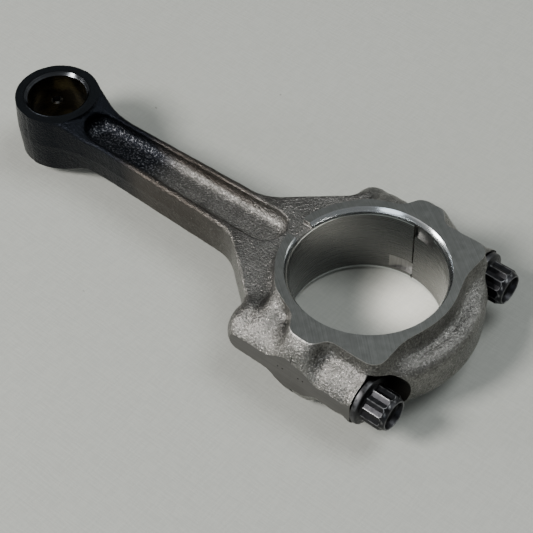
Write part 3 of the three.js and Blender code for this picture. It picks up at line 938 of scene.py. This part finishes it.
def rod_cap():
    along, across, up = GRID_MARGIN
    low = (-JOINT_MARGIN, -FLAT_Y - across, -HALF_WIDTH - up)
    high = (STRAP_REACH + along, FLAT_Y + across, HALF_WIDTH + up)
    body = forge("forged_cap", cap_field, low, high, FORGED)
    steps = side_face_cuts(HALF_WIDTH, -FAR, FAR, GROUND)
    steps += cuts(block((-FAR, -FAR, -FAR), (JOINT_GAP / 2, FAR, FAR), FACED))
    steps += flat_cuts()
    for side in SIDES.values():
        centre = bolt_centre(side)
        seat = [(SPOT_FACE_RADIUS, SEAT_X), (SPOT_FACE_RADIUS, FAR)]
        hole = [(BOLT_HOLE_RADIUS, -OVERCUT), (BOLT_HOLE_RADIUS, SEAT_X + OVERCUT)]
        # The seat's pocket gets the near-black finish: painted shade in the pocket.
        steps += cuts(turned("seat", "x", seat, centre, 160, [RECESS_SHADE]))
        steps += cuts(turned("hole", "x", hole, centre, 64, [DRILLED]))
        steps += cuts(sleeve_pocket(side), joint_groove(side))
    steps += cuts(bore_cut(), tang_cut(*CAP_TANG))
    steps += cuts(*(punch_mark(x) for x in PUNCH_PLACES))
    return shade(machine(body, *steps))


def star_radius(angles):
    """Twelve-point head: the outline of two hexagons turned 30 degrees apart."""
    half = HEAD_ACROSS_FLATS / 2
    first = half / np.cos(hexagon_angle(angles))
    return np.maximum(first, half / np.cos(hexagon_angle(angles + math.pi / 6)))


def hexagon_angle(angles):
    third = math.pi / 3
    return (angles + third / 2) % third - third / 2


def cap_bolt(name, side):
    """Flanged twelve-point bolt: rings of points from its tip, up the thread, to its dished end."""
    pitch = math.pi / 6
    offsets = np.array([0, 0.028, 0.07, 0.14, 0.20, 0.5, 0.80, 0.86, 0.93, 0.972]) * pitch
    angles = (np.arange(12)[:, None] * pitch + offsets[None, :]).ravel()[None, :]
    crown = HEAD_ACROSS_FLATS / 2 / math.cos(math.pi / 6)
    thread_radii, thread_x = thread_rings(BOLT_TIP, THREAD_END, BOLT_RADIUS, THREAD_DEPTH, angles)
    lead = np.minimum(BOLT_RADIUS - BOLT_LEAD + (thread_x - BOLT_TIP), BOLT_RADIUS)
    radii = [np.minimum(thread_radii, lead)]
    places = [thread_x]
    # Each profile below is a list of (position along X, radius).
    stem = [
        (THREAD_END + 0.4, BOLT_RADIUS), (BOLT_WAIST[0] - 0.6, BOLT_RADIUS),
        (BOLT_WAIST[0], BOLT_WAIST_RADIUS),
        (BOLT_WAIST[1], BOLT_WAIST_RADIUS), (BOLT_WAIST[1] + 0.6, BOLT_RADIUS),
        (SEAT_X - 0.2, BOLT_RADIUS), (SEAT_X + 0.12, BOLT_RADIUS + 0.3),
        (SEAT_X + 0.12, FLANGE_RADIUS - 0.45), (SEAT_X + 0.2, FLANGE_RADIUS - 0.2),
        (SEAT_X + 0.5, FLANGE_RADIUS), (SEAT_X + 1.9, FLANGE_RADIUS),
        (SEAT_X + 2.25, FLANGE_RADIUS - 0.15), (SEAT_X + 2.4, FLANGE_RADIUS - 0.4),
        (SEAT_X + 2.6, crown + 0.9), (SEAT_X + 2.75, crown + 0.3), (SEAT_X + 3.0, crown + 0.05),
    ]
    for place, radius in stem:
        radii.append(np.full_like(angles, radius))
        places.append(np.full_like(angles, place))
    cone = [
        (SEAT_X + FLUTE_START, crown), (HEAD_TOP - 2.3, crown), (HEAD_TOP - 1.3, 6.22),
        (HEAD_TOP - 0.45, 5.9), (HEAD_TOP - 0.15, 5.75), (HEAD_TOP, 5.5),
    ]
    cone_x, cone_radius = (np.array(column) for column in zip(*cone))
    flutes = np.concatenate([
        [SEAT_X + FLUTE_START, SEAT_X + 4.5, HEAD_TOP - 2.7],
        np.linspace(HEAD_TOP - 2.3, HEAD_TOP - 1.3, 9),
        [HEAD_TOP - 0.45, HEAD_TOP - 0.15, HEAD_TOP],
    ])
    ends = []
    for place in flutes:
        envelope = np.interp(place, cone_x, cone_radius)
        radii.append(np.minimum(star_radius(angles), envelope))
        places.append(np.full_like(angles, place))
        # Where each flute ends in a U, painted lighter below: partly rubbed wear, partly painted
        # highlight.
        ends.append(dip(star_radius(angles), envelope, 0.09) * (place < HEAD_TOP - 0.5))
    dish = [
        (HEAD_TOP - 0.05, 5.3), (HEAD_TOP - 0.35, 5.1), (HEAD_TOP - 1.9, 4.75),
        (HEAD_TOP - 2.2, 4.4), (HEAD_TOP - 2.3, 3.0), (HEAD_TOP - 2.15, 0.4),
    ]
    for place, radius in dish:
        radii.append(np.full_like(angles, radius))
        places.append(np.full_like(angles, place))
    before, after = sum(len(rows) for rows in radii) - len(dish) - len(ends), len(dish)
    flute_end_wear_and_sheen = np.pad(np.concatenate(ends), ((before, after), (0, 0)))
    radii, places = np.concatenate(radii), np.concatenate(places)
    points = around("x", radii, angles * np.ones_like(radii), places, bolt_centre(side))
    bolt = mesh_object(name, points.reshape(-1, 3), tube_skin(points, False), [OXIDE])
    face_outwards(bolt)
    # Lighter paint on the head's points, its flute ends and the rims: partly rubbed wear, partly
    # painted highlight.
    ridge = dip(np.abs(hexagon_angle(angles + math.pi / 6)) % (math.pi / 6), 0, RIDGE_WEAR_AND_SHEEN)
    on_head = (places > SEAT_X + 3.2) & (places < HEAD_TOP - 0.3) & (radii > 5.6)
    full_width = np.isclose(radii, star_radius(angles), atol=0.02)
    rim_wear_and_sheen = np.maximum(dip(radii, FLANGE_RADIUS, 0.16) * 0.12, dip(places, HEAD_TOP, 0.12) * 0.4)
    worn_and_sheen = np.maximum(on_head * np.maximum(0.6 * ridge * full_width, 0.5 * flute_end_wear_and_sheen), rim_wear_and_sheen)
    wear_and_sheen = bolt.data.attributes.new("wear_and_sheen", "FLOAT", "POINT")
    wear_and_sheen.data.foreach_set("value", worn_and_sheen.ravel())
    return shade(bolt, 24)


def small_end_bush():
    mouth, outer = BUSH_BORE_RADIUS + BUSH_CHAMFER, EYE_BORE_RADIUS - PRESS_GAP
    end = EYE_HALF - PRESS_GAP
    profile = [
        (mouth, -end), (outer - BUSH_EDGE, -end), (outer, -end + BUSH_EDGE),
        (outer, end - BUSH_EDGE), (outer - BUSH_EDGE, end), (mouth, end),
        (BUSH_BORE_RADIUS, end - BUSH_CHAMFER), (BUSH_BORE_RADIUS, -end + BUSH_CHAMFER),
    ]
    finishes, slots = [BRONZE, BLUED, POLISHED], [1, 1, 0, 1, 1, 2, 0, 2]
    bush = turned("bronze_bush", "z", profile, (EYE_X, 0, 0), 200, finishes, slots, True)
    return shade(machine(bush, *cuts(oil_hole())), 25)


def locating_sleeve(name, side):
    inner, lead_radius = BOLT_HOLE_RADIUS, SLEEVE_RADIUS - SLEEVE_LEAD
    profile = [
        (inner, -SLEEVE_HALF), (lead_radius, -SLEEVE_HALF),
        (SLEEVE_RADIUS, -SLEEVE_HALF + SLEEVE_LEAD), (SLEEVE_RADIUS, SLEEVE_HALF - SLEEVE_LEAD),
        (lead_radius, SLEEVE_HALF), (inner, SLEEVE_HALF),
    ]
    return shade(turned(name, "x", profile, bolt_centre(side), 96, [SLEEVE], None, True), 25)


# ---- Assembly ----------------------------------------------------------------------


def place_piece(piece, body, node):
    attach(piece, body)
    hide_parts(node)


place_piece(rod_body(), "rod", "rod_body")
place_piece(rod_cap(), "cap", "rod_cap")
place_piece(small_end_bush(), "rod", "small_end_bush")
for where, side in SIDES.items():
    bolt = cap_bolt(f"twelve_point_bolt_{where}", side)
    place_piece(bolt, f"bolt_{where}", f"cap_bolt_{where}")
    sleeve = locating_sleeve(f"ground_sleeve_{where}", side)
    place_piece(sleeve, "rod", f"locating_sleeve_{where}")


# ---- Floor, camera and light --------------------------------------------------------


def pale_floor():
    mesh = bpy.data.meshes.new("pale_floor")
    half = FLOOR_HALF
    corners = [(-half, -half, 0), (half, -half, 0), (half, half, 0), (-half, half, 0)]
    mesh.from_pydata(corners, [], [(0, 1, 2, 3)])
    mesh.materials.append(floor_cloth())
    floor = bpy.data.objects.new("pale_floor", mesh)
    bpy.context.scene.collection.objects.link(floor)


def aim(thing, position, target, roll=0.0):
    forward = (Vector(target) - Vector(position)).normalized()
    right = forward.cross(Vector((0, 0, 1))).normalized()
    up = right.cross(forward)
    level = Matrix((right, up, -forward)).transposed().to_4x4()
    thing.matrix_world = Matrix.Translation(position) @ level @ Matrix.Rotation(roll, 4, "Z")


def direction(azimuth, elevation):
    """From the part towards a viewer; azimuth 0 is seen from -Y, and grows towards +X."""
    azimuth, elevation = math.radians(azimuth), math.radians(elevation)
    level = math.cos(elevation)
    return Vector((math.sin(azimuth) * level, -math.cos(azimuth) * level, math.sin(elevation)))


def studio_camera():
    data = bpy.data.cameras.new("camera")
    data.lens = CAMERA_LENS
    data.sensor_width = 36.0
    camera = bpy.data.objects.new("camera", data)
    bpy.context.scene.collection.objects.link(camera)
    target = Vector((*CAMERA_TARGET, HALF_WIDTH / MM))
    position = target + CAMERA_DISTANCE * direction(*CAMERA_DIRECTION)
    aim(camera, position, target, math.radians(CAMERA_ROLL))
    bpy.context.scene.camera = camera


def soft_light(name, azimuth, elevation, distance, size, power, colour):
    data = bpy.data.lights.new(name, "AREA")
    data.shape = "DISK"
    data.size = size
    data.energy = power
    data.color = colour
    light = bpy.data.objects.new(name, data)
    bpy.context.scene.collection.objects.link(light)
    aim(light, distance * direction(azimuth, elevation), (0, 0, 0))


def glint(azimuth, elevation, distance, beam, power, colour):
    """A narrow lamp shining down the big-end bore on to the floor."""
    data = bpy.data.lights.new("glint", "SPOT")
    data.spot_size = math.radians(beam)
    data.spot_blend = 1.0
    data.shadow_soft_size = 0.006
    data.energy = power
    data.color = colour
    lamp = bpy.data.objects.new("glint", data)
    bpy.context.scene.collection.objects.link(lamp)
    target = (Vector(ORIGIN) + Vector(GLINT_PLACE)) / MM
    target.z = 0.0
    aim(lamp, target + distance * direction(azimuth, elevation), target)


def sky(strength, colour):
    world = bpy.data.worlds.new("soft_room")
    world.use_nodes = True
    background = world.node_tree.nodes["Background"]
    background.inputs["Color"].default_value = rgb(*colour)
    background.inputs["Strength"].default_value = strength
    bpy.context.scene.world = world


pale_floor()
studio_camera()
sky(*SKY)
# Azimuth and elevation in degrees, distance and size in metres, power in watts, colour.
soft_light("window", -27, 45, 1.6, 0.5, 30, (1.0, 0.975, 0.95))
soft_light("low_window", -52, 12, 1.6, 0.45, 9, (1.0, 0.97, 0.94))
glint(-20, 68, 1.2, 1.5, 110, (1.0, 0.93, 0.88))     # the fourth number is its beam, in degrees
soft_light("cool_panel", 12, 20, 1.9, 0.9, 4, (0.80, 0.90, 1.0))
soft_light("back_panel", 150, 10, 1.9, 0.7, 3, (0.95, 1.0, 0.97))
soft_light("ceiling", 140, 63, 1.9, 1.1, 17, (0.95, 0.99, 1.0))
